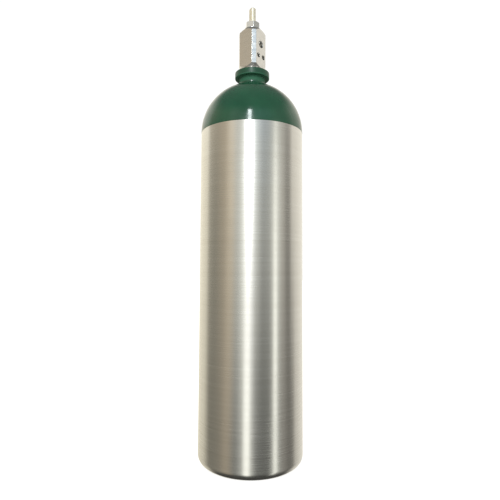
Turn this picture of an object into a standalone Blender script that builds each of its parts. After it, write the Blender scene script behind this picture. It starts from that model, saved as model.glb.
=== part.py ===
"""Portable medical oxygen cylinder with a wrench-operated, pin-indexed post valve.

Metres, +Z up. The origin is the centre of the ring that the base stands on, and the valve's outlet
face looks along -Y. Heights in the valve are given above the top of the cylinder's neck.
"""

import math

import bmesh
import bpy
from mathutils import Matrix

MM = 0.001

# Driving dimensions of the pressure vessel: 4.38 in across and 16.5 in to the top of its neck.
VESSEL_RADIUS = 55.63 * MM
NECK_TOP = 419.1 * MM
SHOULDER_HEIGHT = 350.0 * MM
WALL = 5.2 * MM
DOME_RISE = 45.0 * MM  # of the cavity, above the shoulder
CAVITY_CORNER = 15.0 * MM
FOOT_CORNER = 8.4 * MM
FOOT_RING_INNER = 34.0 * MM
FOOT_HOLLOW = 4.0 * MM
FLOOR_THICKNESS = 9.0 * MM
LIP_RADIUS = 19.05 * MM
LIP_BOTTOM = 412.3 * MM
GROOVE_RADIUS = 14.2 * MM
GROOVE_FILLET = 2.2 * MM
NECK_EDGE = 0.6 * MM
SEAL_POCKET_RADIUS = 12.1 * MM
SEAL_POCKET_DEPTH = 2.9 * MM

# Driving dimensions of the valve. From here on, heights are above the top of the neck.
POST_WIDTH = 24.4 * MM
POST_DEPTH = 24.0 * MM
POST_CHAMFER = 3.5 * MM
POST_BOTTOM = 3.0 * MM
POST_FOOT_RADIUS = 10.8 * MM
POST_CORNER_RADIUS = 17.4 * MM
BOSS_TOP = 50.0 * MM
BOSS_RADIUS = 9.8 * MM
BOSS_EDGE = 0.4 * MM
COLLAR_RADIUS = 12.7 * MM
SHANK_RADIUS = 9.2 * MM
SHANK_BOTTOM = -1.9 * MM
SPIGOT_BOTTOM = -21.0 * MM
INLET_THREAD_BOTTOM = -22.0 * MM

# The gas way: debris tube, inlet, seat and outlet.
TUBE_RADIUS = 3.2 * MM
TUBE_BORE = 2.3 * MM
TUBE_BOTTOM = -48.0 * MM
TUBE_DRAIN_HEIGHT = -42.0 * MM
TUBE_DRAIN_RADIUS = 0.9 * MM
FILTER_BORE_RADIUS = 3.5 * MM
FILTER_BORE_TOP = -9.0 * MM
INLET_PASSAGE_RADIUS = 2.2 * MM
SEAT_FLOOR = 21.1 * MM
SEAT_RIDGE = 1.0 * MM
OUTLET_HEIGHT = 30.5 * MM
OUTLET_RADIUS = 3.6 * MM
OUTLET_DEPTH = 5.0 * MM
OUTLET_PASSAGE_HEIGHT = 28.4 * MM
OUTLET_PASSAGE_RADIUS = 1.3 * MM

# The pin index for oxygen: two blind holes on an arc about the outlet, at positions 2 and 5.
PIN_ARC_RADIUS = 14.3 * MM
PIN_ANGLES = (math.radians(-18), math.radians(18))
PIN_HOLE_RADIUS = 2.375 * MM
PIN_HOLE_DEPTH = 5.5 * MM

# The conical seat of the yoke's screw, opposite the outlet.
DIMPLE_RADIUS = 4.4 * MM
DIMPLE_TIP_RADIUS = 0.8 * MM
DIMPLE_DEPTH = 2.8 * MM

# The lower spindle, or plunger.
PLUNGER_HEAD_RADIUS = 4.2 * MM
PLUNGER_HEAD_TOP = 30.2 * MM
PLUNGER_THREAD_START = 31.5 * MM
PLUNGER_TOP = 37.1 * MM
PLUNGER_BORE_TOP = 37.2 * MM
SLOT_SIZE = (2.8 * MM, 14.0 * MM, 6.7 * MM)
SLOT_BOTTOM = 32.4 * MM
DISC_POCKET_RADIUS = 3.3 * MM
DISC_POCKET_DEPTH = 2.1 * MM

# The stem, or upper spindle, whose flats stand at this angle when the valve is closed.
STEM_REST_ANGLE = math.radians(-23)
STEM_RADIUS = 3.9 * MM
STEM_TOP = 75.0 * MM
STEM_FLATS = 5.0 * MM
STEM_FLATS_BOTTOM = 60.2 * MM
STEM_EDGE = 0.7 * MM
STEM_COLLAR_TOP = 43.0 * MM
STEM_COLLAR_BOTTOM = 40.8 * MM
STEM_NECK_RADIUS = 4.4 * MM
STEM_BOTTOM = 39.4 * MM
TANG_SIZE = (2.2 * MM, 7.8 * MM, 6.0 * MM)
TANG_BOTTOM = 34.6 * MM

# The gland and its packing.
CHAMBER_RADIUS = 5.7 * MM
GLAND_SEAT = 43.6 * MM
GLAND_BOTTOM = 44.6 * MM
GLAND_THREAD_START = 45.8 * MM
GLAND_TOP = 58.1 * MM
GLAND_HEX = 14.3 * MM
GLAND_TURN = math.radians(17)
PACKING_RADIUS = 5.5 * MM
PACKING_TOP = 49.2 * MM
PACKING_MIDDLE = 46.75 * MM

# The relief device, along +X.
RELIEF_HEIGHT = 12.0 * MM
RELIEF_TURN = math.radians(8)
RELIEF_HEX = 10.0 * MM
RELIEF_HEAD = 3.2 * MM
RELIEF_BORE_FLOOR = 4.9 * MM
RELIEF_PASSAGE_RADIUS = 1.1 * MM
RELIEF_THREAD_START = 8.6 * MM
RELIEF_PLUG_END = 6.8 * MM
DISC_RADIUS = 3.4 * MM
VENT_BORE_RADIUS = 1.6 * MM
VENT_RADIUS = 0.6 * MM

# Threads: pitch, core radius and crest radius of the male half.
NECK_THREAD = (1.5875 * MM, 8.55 * MM, 9.45 * MM)
PLUNGER_THREAD = (1.27 * MM, 4.6 * MM, 5.2 * MM)
GLAND_THREAD = (1.27 * MM, 6.45 * MM, 7.05 * MM)
RELIEF_THREAD = (1.0 * MM, 3.6 * MM, 4.1 * MM)
FLANK_ANGLE = math.radians(30)
THREAD_START = math.radians(3)  # off the turned solids' own corners, so that no edges coincide

GAP = 0.3 * MM  # between pieces that touch
THREAD_GAP = 0.12 * MM
BORE_GAP = 0.22 * MM  # from a male core to the female bore
STEM_GAP = 0.25 * MM
RING_GAP = 0.2 * MM
OVERRUN = 2.0 * MM  # how far a cutter passes the face that it opens

VESSEL_STEPS = 36
ROUND_STEPS = 28
SMALL_STEPS = 20
THREAD_STEPS = 16
PLUNGER_THREAD_STEPS = 24
HOLE_STEPS = 12


def make_collection(name):
    collection = bpy.data.collections.new(name)
    bpy.context.scene.collection.children.link(collection)
    return collection


def make_material(name, colour, roughness, metallic):
    material = bpy.data.materials.new(name)
    material.use_nodes = True
    shader = material.node_tree.nodes["Principled BSDF"]
    shader.inputs["Base Color"].default_value = (*colour, 1.0)
    shader.inputs["Roughness"].default_value = roughness
    shader.inputs["Metallic"].default_value = metallic
    return material


def make_materials():
    return {
        "aluminium": make_material("brushed_aluminium", (0.72, 0.71, 0.68), 0.30, 1.0),
        "chrome": make_material("satin_chrome", (0.74, 0.73, 0.71), 0.20, 1.0),
        "brass": make_material("brass", (0.78, 0.66, 0.42), 0.32, 1.0),
        "stem": make_material("nickel_brass", (0.82, 0.78, 0.66), 0.28, 1.0),
        "copper": make_material("copper", (0.72, 0.40, 0.28), 0.30, 1.0),
        "rubber": make_material("black_rubber", (0.02, 0.02, 0.02), 0.60, 0.0),
        "nylon": make_material("white_nylon", (0.85, 0.84, 0.80), 0.45, 0.0),
    }


def above_neck(height):
    """A height in the valve as a height above the base."""
    return NECK_TOP + height


def arc(centre, radius, start, end, count):
    """Points along a circular arc in the (radius, height) plane, both ends included, in degrees."""
    points = []
    for i in range(count):
        angle = math.radians(start + (end - start) * i / (count - 1))
        points.append((centre[0] + radius * math.cos(angle), centre[1] + radius * math.sin(angle)))
    return points


def turned(name, profile, steps=ROUND_STEPS):
    """A solid of revolution about its Z axis.

    The profile is (radius, height) pairs that run up the inside and down the outside. It is open
    where both its ends lie on the axis, and a closed loop otherwise.
    """
    mesh = bpy.data.meshes.new(name)
    edges = [(i, i + 1) for i in range(len(profile) - 1)]
    if profile[0][0] > 0:
        edges.append((len(profile) - 1, 0))
    mesh.from_pydata([(radius, 0, height) for radius, height in profile], edges, [])
    obj = bpy.data.objects.new(name, mesh)
    screw = obj.modifiers.new("Turn", "SCREW")
    screw.axis = "Z"
    screw.steps = steps
    screw.render_steps = steps
    screw.use_merge_vertices = True
    screw.merge_threshold = 0.000001
    screw.use_smooth_shade = False
    return obj


def turned_in_valve(name, profile, steps=ROUND_STEPS):
    """A solid of revolution whose profile's heights are above the top of the neck."""
    return turned(name, [(radius, above_neck(height)) for radius, height in profile], steps)


def rod(name, radius, low, high, chamfer=0.0, steps=SMALL_STEPS):
    """A solid turned cylinder with optional chamfers."""
    side = [(radius, high), (radius, low)]
    if chamfer:
        upper = [(radius - chamfer, high), (radius, high - chamfer)]
        lower = [(radius, low + chamfer), (radius - chamfer, low)]
        side = upper + lower
    return turned(name, [(0, high), *side, (0, low)], steps)


def ring(name, inner, outer, low, high):
    """A flat washer."""
    return turned(name, [(inner, high), (outer, high), (outer, low), (inner, low)], SMALL_STEPS)


def o_ring(name, centre_radius, section_radius, height):
    """A round-section seal ring about the Z axis."""
    bpy.ops.mesh.primitive_torus_add(
        major_radius=centre_radius,
        minor_radius=section_radius,
        major_segments=SMALL_STEPS,
        minor_segments=10,
        location=(0, 0, height),
    )
    obj = bpy.context.object
    obj.name = name
    for collection in list(obj.users_collection):
        collection.objects.unlink(obj)
    return obj


def block(name, size, centre, turn=0.0):
    """A box of that size whose centre is at that place, turned about Z."""
    bm = bmesh.new()
    bmesh.ops.create_cube(bm, size=1.0, matrix=Matrix.Diagonal((*size, 1)))
    obj = from_bmesh(name, bm)
    obj.location = centre
    obj.rotation_euler = (0, 0, turn)
    return obj


def hexagon(name, across_flats, low, high, turn):
    """A hexagonal prism about the Z axis, turned by that angle from having a corner on +Y."""
    bm = bmesh.new()
    bmesh.ops.create_cone(
        bm,
        cap_ends=True,
        segments=6,
        radius1=across_flats / math.sqrt(3),
        radius2=across_flats / math.sqrt(3),
        depth=high - low,
        matrix=Matrix.Translation((0, 0, (high + low) / 2)) @ Matrix.Rotation(turn, 4, "Z"),
    )
    return from_bmesh(name, bm)


def from_bmesh(name, bm):
    mesh = bpy.data.meshes.new(name)
    bm.to_mesh(mesh)
    bm.free()
    return bpy.data.objects.new(name, mesh)


def helix(name, section, pitch, turns, start_height, steps):
    """A closed solid: a section in the (radius, height) plane swept up a right-hand helix about Z."""
    bm = bmesh.new()
    across = math.cos(THREAD_START)
    along = math.sin(THREAD_START)
    corners = []
    for radius, height in section:
        corners.append(bm.verts.new((radius * across, radius * along, start_height + height)))
    face = bm.faces.new(corners)
    bmesh.ops.spin(
        bm,
        geom=[face, *face.edges, *face.verts],
        cent=(0, 0, 0),
        axis=(0, 0, 1),
        dvec=(0, 0, pitch / steps),
        angle=2 * math.pi * turns,
        steps=round(turns * steps),
        use_duplicate=False,
    )
    bmesh.ops.holes_fill(bm, edges=[edge for edge in bm.edges if edge.is_boundary])
    bmesh.ops.recalc_face_normals(bm, faces=bm.faces)
    return from_bmesh(name, bm)


def vee(root, peak):
    """A thread's triangular section, from its root radius out to its peak radius."""
    half_width = (peak - root) * math.tan(FLANK_ANGLE)
    return [(root, -half_width), (peak, 0), (root, half_width)]


def male_thread(name, thread, turns, start_height, steps=THREAD_STEPS):
    """The ridge of an outside thread, sunk a little into its core."""
    pitch, core, crest = thread
    return helix(name, vee(core - THREAD_GAP, crest), pitch, turns, start_height, steps)


def female_thread(name, thread, turns, start_height, steps=THREAD_STEPS):
    """The cutter of the groove that runs round a male thread with a clearance on every side."""
    pitch, core, crest = thread
    root = core + BORE_GAP - THREAD_GAP
    peak = crest + THREAD_GAP / math.sin(FLANK_ANGLE)
    return helix(name, vee(root, peak), pitch, turns, start_height, steps)


class Model:
    """The two collections, the materials and the Boolean joins of the object."""

    def __init__(self):
        self.parts = make_collection("oxygen_cylinder")
        self.cutters = make_collection("cutters")
        self.materials = make_materials()

    def part(self, obj, material):
        """Makes obj a visible piece."""
        self.parts.objects.link(obj)
        obj.data.materials.clear()
        obj.data.materials.append(self.materials[material])
        return obj

    def helper(self, obj):
        """Makes obj a cutter or another helper, which isn't part of the object."""
        self.cutters.objects.link(obj)
        obj.hide_render = True
        obj.display_type = "WIRE"
        return obj

    def combine(self, target, operation, *others):
        """Cuts the others from the target, joins them to it, or keeps what they share."""
        for other in others:
            self.helper(other)
            boolean = target.modifiers.new(f"{operation.title()} {other.name}", "BOOLEAN")
            boolean.operation = operation
            boolean.solver = "EXACT"
            boolean.object = other
        return target


def lay_along_x(obj, height):
    """Turns a piece that was made along Z to lie along +X, at that height in the valve."""
    obj.rotation_euler = (0, math.radians(90), 0)
    obj.location = (0, 0, above_neck(height))
    return obj


def lay_along_y(obj, x, height):
    """Turns a piece that was made along Z so that its +Z end points to -Y."""
    obj.rotation_euler = (math.radians(90), 0, 0)
    obj.location = (x, 0, above_neck(height))
    return obj


def vessel_outside():
    """The outer outline from the top of the neck down to the middle of the base."""
    outline = [
        (SEAL_POCKET_RADIUS, NECK_TOP),
        (LIP_RADIUS - NECK_EDGE, NECK_TOP),
        (LIP_RADIUS, NECK_TOP - NECK_EDGE),
        (LIP_RADIUS, LIP_BOTTOM + NECK_EDGE),
        (LIP_RADIUS - NECK_EDGE, LIP_BOTTOM),
        (GROOVE_RADIUS + NECK_EDGE, LIP_BOTTOM),
        (GROOVE_RADIUS, LIP_BOTTOM - NECK_EDGE),
    ]
    # A fillet that is tangent to the groove and to the hemispherical shoulder.
    fillet_centre = GROOVE_RADIUS + GROOVE_FILLET
    fillet_rise = math.sqrt((VESSEL_RADIUS + GROOVE_FILLET) ** 2 - fillet_centre**2)
    touch = math.degrees(math.atan2(fillet_rise, fillet_centre))
    outline += arc((fillet_centre, SHOULDER_HEIGHT + fillet_rise), GROOVE_FILLET, 180, 180 + touch, 3)
    outline += arc((0, SHOULDER_HEIGHT), VESSEL_RADIUS, touch, 0, 10)[1:]
    outline += arc((VESSEL_RADIUS - FOOT_CORNER, FOOT_CORNER), FOOT_CORNER, 0, -90, 5)
    outline += [(FOOT_RING_INNER, 0)]
    for share in (0.7, 0.35, 0.0):
        outline.append((FOOT_RING_INNER * share, FOOT_HOLLOW * math.cos(share * math.pi / 2)))
    return outline


def vessel_inside():
    """The cavity's outline from the middle of its floor up to the neck's bore and seal pocket."""
    cavity = VESSEL_RADIUS - WALL
    floor = FOOT_HOLLOW + FLOOR_THICKNESS
    bore = NECK_THREAD[1] + BORE_GAP
    entry = 0.8 * MM
    dome_end = math.acos((bore + entry) / cavity)
    outline = [(0, floor)]
    outline += arc((cavity - CAVITY_CORNER, floor + CAVITY_CORNER), CAVITY_CORNER, -90, 0, 4)
    dome_points = 7
    for i in range(dome_points):
        angle = dome_end * i / (dome_points - 1)
        outline.append((cavity * math.cos(angle), SHOULDER_HEIGHT + DOME_RISE * math.sin(angle)))
    outline += [
        (bore, SHOULDER_HEIGHT + DOME_RISE * math.sin(dome_end) + entry),
        (bore, NECK_TOP - SEAL_POCKET_DEPTH),
        (SEAL_POCKET_RADIUS, NECK_TOP - SEAL_POCKET_DEPTH),
    ]
    return outline


def make_vessel(model):
    shell = turned("cylinder_shell", vessel_inside() + vessel_outside(), VESSEL_STEPS)
    model.part(shell, "aluminium")
    start = above_neck(INLET_THREAD_BOTTOM + NECK_THREAD[0])
    model.combine(shell, "DIFFERENCE", female_thread("neck_bore_thread", NECK_THREAD, 8, start))
    seal = o_ring("neck_o_ring", 10.7 * MM, 1.2 * MM, above_neck(-1.4 * MM))
    model.part(seal, "rubber")


def post_blank():
    """The chamfered square post, from just inside the collar up past the boss."""
    low = above_neck(POST_BOTTOM - 1.0 * MM)
    high = above_neck(BOSS_TOP + OVERRUN)
    bm = bmesh.new()
    size = Matrix.Diagonal((POST_WIDTH, POST_DEPTH, high - low, 1))
    bmesh.ops.create_cube(bm, size=1.0, matrix=Matrix.Translation((0, 0, (low + high) / 2)) @ size)
    upright = [edge for edge in bm.edges if abs(edge.verts[0].co.z - edge.verts[1].co.z) > MM]
    bmesh.ops.bevel(bm, geom=upright, offset=POST_CHAMFER, offset_type="OFFSET", segments=1, affect="EDGES")
    return from_bmesh("valve_body", bm)


def post_envelope():
    """The turned shape that rounds the post off to its boss above and to its foot below."""
    shoulder_top = BOSS_TOP - 0.7 * MM
    shoulder_bottom = BOSS_TOP - 8.2 * MM
    foot_rise = POST_CORNER_RADIUS - POST_FOOT_RADIUS
    return turned_in_valve(
        "post_envelope",
        [
            (0, BOSS_TOP),
            (BOSS_RADIUS - BOSS_EDGE, BOSS_TOP),
            (BOSS_RADIUS, BOSS_TOP - BOSS_EDGE),
            (BOSS_RADIUS, shoulder_top),
            (POST_CORNER_RADIUS, shoulder_bottom),
            (POST_CORNER_RADIUS, POST_BOTTOM + foot_rise),
            (POST_FOOT_RADIUS, POST_BOTTOM),
            (0, POST_BOTTOM),
        ],
    )


def inlet_spigot():
    """The collar that presses on the neck seal, and the core of the threaded inlet under it."""
    core = NECK_THREAD[1]
    inner = COLLAR_RADIUS - 2.3 * MM
    collar_top = POST_BOTTOM - 0.4 * MM
    taper = 0.7 * MM
    lead = 0.8 * MM
    return turned_in_valve(
        "inlet_spigot",
        [
            (0, POST_BOTTOM + 3.0 * MM),
            (inner, POST_BOTTOM + 3.0 * MM),
            (inner, collar_top + 1.6 * MM),
            (COLLAR_RADIUS, collar_top),
            (COLLAR_RADIUS, GAP),
            (SHANK_RADIUS, GAP),
            (SHANK_RADIUS, SHANK_BOTTOM),
            (core, SHANK_BOTTOM - taper),
            (core, SPIGOT_BOTTOM + lead),
            (core - lead, SPIGOT_BOTTOM),
            (0, SPIGOT_BOTTOM),
        ],
    )


def main_bore():
    """Everything that is bored down the valve's axis: gland, spindle chamber, seat and inlet."""
    gland_bore = GLAND_THREAD[1] + BORE_GAP
    plunger_bore = PLUNGER_THREAD[1] + BORE_GAP
    seat = SEAT_FLOOR + SEAT_RIDGE
    return turned_in_valve(
        "main_bore",
        [
            (0, BOSS_TOP + OVERRUN),
            (gland_bore, BOSS_TOP + OVERRUN),
            (gland_bore, GLAND_SEAT),
            (CHAMBER_RADIUS, GLAND_SEAT),
            (CHAMBER_RADIUS, PLUNGER_BORE_TOP + 0.6 * MM),
            (plunger_bore, PLUNGER_BORE_TOP),
            (plunger_bore, SEAT_FLOOR),
            (INLET_PASSAGE_RADIUS + 1.5 * MM, SEAT_FLOOR),
            (INLET_PASSAGE_RADIUS + 0.7 * MM, seat),
            (INLET_PASSAGE_RADIUS, seat),
            (INLET_PASSAGE_RADIUS, FILTER_BORE_TOP),
            (FILTER_BORE_RADIUS, FILTER_BORE_TOP),
            (FILTER_BORE_RADIUS, SPIGOT_BOTTOM - OVERRUN),
            (0, SPIGOT_BOTTOM - OVERRUN),
        ],
        SMALL_STEPS,
    )


def outlet_bores():
    """The gas outlet in the front face, and the passage from its floor to the seat chamber."""
    front = POST_DEPTH / 2
    floor = front - OUTLET_DEPTH
    edge = 0.5 * MM
    tip = 0.7 * MM
    bore = turned(
        "outlet_bore",
        [
            (0, front + OVERRUN),
            (OUTLET_RADIUS + edge, front + OVERRUN),
            (OUTLET_RADIUS + edge, front),
            (OUTLET_RADIUS, front - edge),
            (OUTLET_RADIUS, floor),
            (0, floor - tip),
        ],
        SMALL_STEPS,
    )
    passage = rod("outlet_passage", OUTLET_PASSAGE_RADIUS, 3.0 * MM, floor + 1.0 * MM, steps=HOLE_STEPS)
    return [lay_along_y(bore, 0, OUTLET_HEIGHT), lay_along_y(passage, 0, OUTLET_PASSAGE_HEIGHT)]


def pin_holes():
    """The two blind pin-index holes under the outlet."""
    front = POST_DEPTH / 2
    tip = 1.0 * MM
    holes = []
    for number, angle in enumerate(PIN_ANGLES, 1):
        hole = turned(
            f"pin_hole_{number}",
            [
                (0, front + OVERRUN),
                (PIN_HOLE_RADIUS, front + OVERRUN),
                (PIN_HOLE_RADIUS, front - PIN_HOLE_DEPTH),
                (0, front - PIN_HOLE_DEPTH - tip),
            ],
            SMALL_STEPS,
        )
        x = PIN_ARC_RADIUS * math.sin(angle)
        height = OUTLET_HEIGHT - PIN_ARC_RADIUS * math.cos(angle)
        holes.append(lay_along_y(hole, x, height))
    return holes


def yoke_dimple():
    """The conical seat for the yoke's screw, in the middle of the back face."""
    back = -POST_DEPTH / 2
    dimple = turned(
        "yoke_dimple",
        [
            (0, back + DIMPLE_DEPTH),
            (DIMPLE_TIP_RADIUS, back + DIMPLE_DEPTH),
            (DIMPLE_RADIUS, back),
            (DIMPLE_RADIUS, back - OVERRUN),
            (0, back - OVERRUN),
        ],
        SMALL_STEPS,
    )
    return lay_along_y(dimple, 0, OUTLET_HEIGHT)


def relief_bore():
    """The side bore for the burst disc and its plug, with a small passage to the inlet."""
    bore_radius = RELIEF_THREAD[1] + BORE_GAP
    passage_end = 0.5 * MM
    bore = turned(
        "relief_bore",
        [
            (0, POST_WIDTH / 2 + OVERRUN),
            (bore_radius, POST_WIDTH / 2 + OVERRUN),
            (bore_radius, RELIEF_BORE_FLOOR),
            (RELIEF_PASSAGE_RADIUS, RELIEF_BORE_FLOOR),
            (RELIEF_PASSAGE_RADIUS, passage_end),
            (0, passage_end),
        ],
        SMALL_STEPS,
    )
    return lay_along_x(bore, RELIEF_HEIGHT)


def valve_body_threads():
    """The cutters of the post's three inside threads. Each starts one turn before its male thread."""
    gland = female_thread(
        "gland_bore_thread", GLAND_THREAD, 5, above_neck(GLAND_THREAD_START - GLAND_THREAD[0])
    )
    plunger = female_thread(
        "plunger_bore_thread",
        PLUNGER_THREAD,
        6.25,
        above_neck(PLUNGER_THREAD_START - PLUNGER_THREAD[0]),
        PLUNGER_THREAD_STEPS,
    )
    relief = female_thread(
        "relief_bore_thread", RELIEF_THREAD, 4.5, RELIEF_THREAD_START - RELIEF_THREAD[0]
    )
    return [gland, plunger, lay_along_x(relief, RELIEF_HEIGHT)]


def make_valve_body(model):
    body = post_blank()
    model.part(body, "chrome")
    start = above_neck(INLET_THREAD_BOTTOM + 2 * NECK_THREAD[0])
    model.combine(body, "INTERSECT", post_envelope())
    model.combine(body, "UNION", inlet_spigot())
    model.combine(body, "UNION", male_thread("inlet_thread", NECK_THREAD, 6, start))
    model.combine(body, "DIFFERENCE", main_bore(), *outlet_bores(), *pin_holes())
    model.combine(body, "DIFFERENCE", yoke_dimple(), relief_bore())
    model.combine(body, "DIFFERENCE", *valve_body_threads())


def make_debris_tube(model):
    top = FILTER_BORE_TOP - GAP
    edge = 0.4 * MM
    tube = turned_in_valve(
        "debris_tube",
        [
            (TUBE_BORE, TUBE_BOTTOM),
            (TUBE_BORE, top),
            (TUBE_RADIUS - edge, top),
            (TUBE_RADIUS, top - edge),
            (TUBE_RADIUS, TUBE_BOTTOM + edge),
            (TUBE_RADIUS - edge, TUBE_BOTTOM),
        ],
        SMALL_STEPS,
    )
    model.part(tube, "brass")
    reach = TUBE_RADIUS + OVERRUN
    drain = rod("debris_tube_drain", TUBE_DRAIN_RADIUS, -reach, reach, steps=HOLE_STEPS)
    model.combine(tube, "DIFFERENCE", lay_along_y(drain, 0, TUBE_DRAIN_HEIGHT))


def make_plunger(model):
    core = PLUNGER_THREAD[1]
    edge = 0.3 * MM
    bottom = SEAT_FLOOR + SEAT_RIDGE + 2 * GAP
    pocket_top = bottom + DISC_POCKET_DEPTH
    plunger = turned_in_valve(
        "valve_plunger",
        [
            (0, PLUNGER_TOP),
            (core - edge, PLUNGER_TOP),
            (core, PLUNGER_TOP - edge),
            (core, PLUNGER_HEAD_TOP + 0.4 * MM),
            (PLUNGER_HEAD_RADIUS, PLUNGER_HEAD_TOP),
            (PLUNGER_HEAD_RADIUS, bottom + edge),
            (PLUNGER_HEAD_RADIUS - edge, bottom),
            (DISC_POCKET_RADIUS, bottom),
            (DISC_POCKET_RADIUS, pocket_top),
            (0, pocket_top),
        ],
        PLUNGER_THREAD_STEPS,
    )
    model.part(plunger, "brass")
    start = above_neck(PLUNGER_THREAD_START)
    thread = male_thread("plunger_thread", PLUNGER_THREAD, 3.5, start, PLUNGER_THREAD_STEPS)
    slot_centre = (0, 0, above_neck(SLOT_BOTTOM + SLOT_SIZE[2] / 2))
    slot = block("plunger_slot", SLOT_SIZE, slot_centre, STEM_REST_ANGLE)
    model.combine(plunger, "UNION", thread)
    model.combine(plunger, "DIFFERENCE", slot)
    low = above_neck(bottom - GAP)
    high = above_neck(pocket_top - GAP)
    model.part(rod("seat_disc", DISC_POCKET_RADIUS - GAP, low, high, 0.2 * MM), "nylon")


def make_stem(model):
    collar = CHAMBER_RADIUS - GAP
    stem = turned_in_valve(
        "valve_stem",
        [
            (0, STEM_TOP),
            (STEM_RADIUS - STEM_EDGE, STEM_TOP),
            (STEM_RADIUS, STEM_TOP - STEM_EDGE),
            (STEM_RADIUS, STEM_COLLAR_TOP),
            (collar, STEM_COLLAR_TOP),
            (collar, STEM_COLLAR_BOTTOM),
            (STEM_NECK_RADIUS, STEM_COLLAR_BOTTOM),
            (STEM_NECK_RADIUS, STEM_BOTTOM),
            (0, STEM_BOTTOM),
        ],
    )
    model.part(stem, "stem")
    tang_centre = (0, 0, above_neck(TANG_BOTTOM + TANG_SIZE[2] / 2))
    model.combine(stem, "UNION", block("stem_tang", TANG_SIZE, tang_centre, STEM_REST_ANGLE))
    cut_size = (4.0 * MM, 12.0 * MM, STEM_TOP - STEM_FLATS_BOTTOM + OVERRUN)
    for number, side in enumerate((-1, 1), 1):
        offset = side * (STEM_FLATS + cut_size[0]) / 2
        x = math.cos(STEM_REST_ANGLE) * offset
        y = math.sin(STEM_REST_ANGLE) * offset
        centre = (x, y, above_neck(STEM_FLATS_BOTTOM + cut_size[2] / 2))
        model.combine(stem, "DIFFERENCE", block(f"stem_flat_{number}", cut_size, centre, STEM_REST_ANGLE))


def make_gland(model):
    head_low = BOSS_TOP + GAP
    nut = hexagon("gland_nut", GLAND_HEX, above_neck(head_low), above_neck(GLAND_TOP), GLAND_TURN)
    model.part(nut, "chrome")
    model.combine(nut, "INTERSECT", gland_chamfer(head_low))
    thread = male_thread("gland_nut_thread", GLAND_THREAD, 2.75, above_neck(GLAND_THREAD_START))
    model.combine(nut, "UNION", gland_shank(head_low), thread)
    model.combine(nut, "DIFFERENCE", gland_bore())


def gland_chamfer(head_low):
    """The turned shape that takes the corners off the top of the nut's head."""
    wide = GLAND_HEX / 2 + 1.4 * MM
    return turned_in_valve(
        "gland_nut_chamfer",
        [
            (0, GLAND_TOP),
            (GLAND_HEX / 2 - 0.4 * MM, GLAND_TOP),
            (wide, GLAND_TOP - 1.0 * MM),
            (wide, head_low - 1.0 * MM),
            (0, head_low - 1.0 * MM),
        ],
    )


def gland_shank(head_low):
    """The core of the gland nut's threaded shank, with a relief under the head."""
    core = GLAND_THREAD[1]
    edge = 0.3 * MM
    inside_head = head_low + 1.5 * MM
    relief_bottom = BOSS_TOP - 0.1 * MM
    return turned_in_valve(
        "gland_nut_shank",
        [
            (0, inside_head),
            (core - edge, inside_head),
            (core - edge, relief_bottom),
            (core, relief_bottom - edge),
            (core, GLAND_BOTTOM + edge),
            (core - edge, GLAND_BOTTOM),
            (0, GLAND_BOTTOM),
        ],
    )


def gland_bore():
    """The stem's bore through the gland nut, and the wider pocket for the packing under it."""
    bore = STEM_RADIUS + STEM_GAP
    edge = 0.5 * MM
    return turned_in_valve(
        "gland_nut_bore",
        [
            (0, GLAND_TOP + OVERRUN),
            (bore + edge, GLAND_TOP + OVERRUN),
            (bore + edge, GLAND_TOP),
            (bore, GLAND_TOP - edge),
            (bore, PACKING_TOP),
            (PACKING_RADIUS, PACKING_TOP),
            (PACKING_RADIUS, GLAND_BOTTOM - OVERRUN),
            (0, GLAND_BOTTOM - OVERRUN),
        ],
        SMALL_STEPS,
    )


def make_packing(model):
    """The rings round the stem, and the gasket that the gland nut clamps."""
    inner = STEM_RADIUS + RING_GAP
    outer = PACKING_RADIUS - RING_GAP
    low_ring = PACKING_MIDDLE - 1.95 * MM
    high_ring = PACKING_MIDDLE + 1.15 * MM
    washer_low = STEM_COLLAR_TOP + GAP
    below_gland = GLAND_BOTTOM - GAP
    rings = (
        ("thrust_washer", inner, CHAMBER_RADIUS - GAP, washer_low, below_gland, "nylon"),
        ("gland_gasket", 5.8 * MM, 6.5 * MM, GLAND_SEAT + GAP, below_gland, "copper"),
        ("lower_backup_ring", inner, outer, low_ring, low_ring + 0.8 * MM, "nylon"),
        ("upper_backup_ring", inner, outer, high_ring, high_ring + 1.0 * MM, "nylon"),
    )
    for name, ring_inner, ring_outer, low, high, material in rings:
        model.part(ring(name, ring_inner, ring_outer, above_neck(low), above_neck(high)), material)
    seal = o_ring("stem_o_ring", (inner + outer) / 2, 0.68 * MM, above_neck(PACKING_MIDDLE))
    model.part(seal, "rubber")


def relief_chamfer(head_top):
    """The turned shape that takes the corners off the plug's hexagon."""
    face = POST_WIDTH / 2
    wide = RELIEF_HEX / 2 + 0.9 * MM
    return turned(
        "relief_plug_chamfer",
        [
            (0, head_top),
            (RELIEF_HEX / 2 - 0.3 * MM, head_top),
            (wide, head_top - 0.7 * MM),
            (wide, face),
            (0, face),
        ],
        SMALL_STEPS,
    )


def relief_shank():
    """The core of the plug's threaded shank."""
    core = RELIEF_THREAD[1]
    edge = 0.3 * MM
    inside_head = POST_WIDTH / 2 + 1.5 * MM
    return turned(
        "relief_plug_shank",
        [
            (0, inside_head),
            (core, inside_head),
            (core, RELIEF_PLUG_END + edge),
            (core - edge, RELIEF_PLUG_END),
            (0, RELIEF_PLUG_END),
        ],
        SMALL_STEPS,
    )


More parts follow.
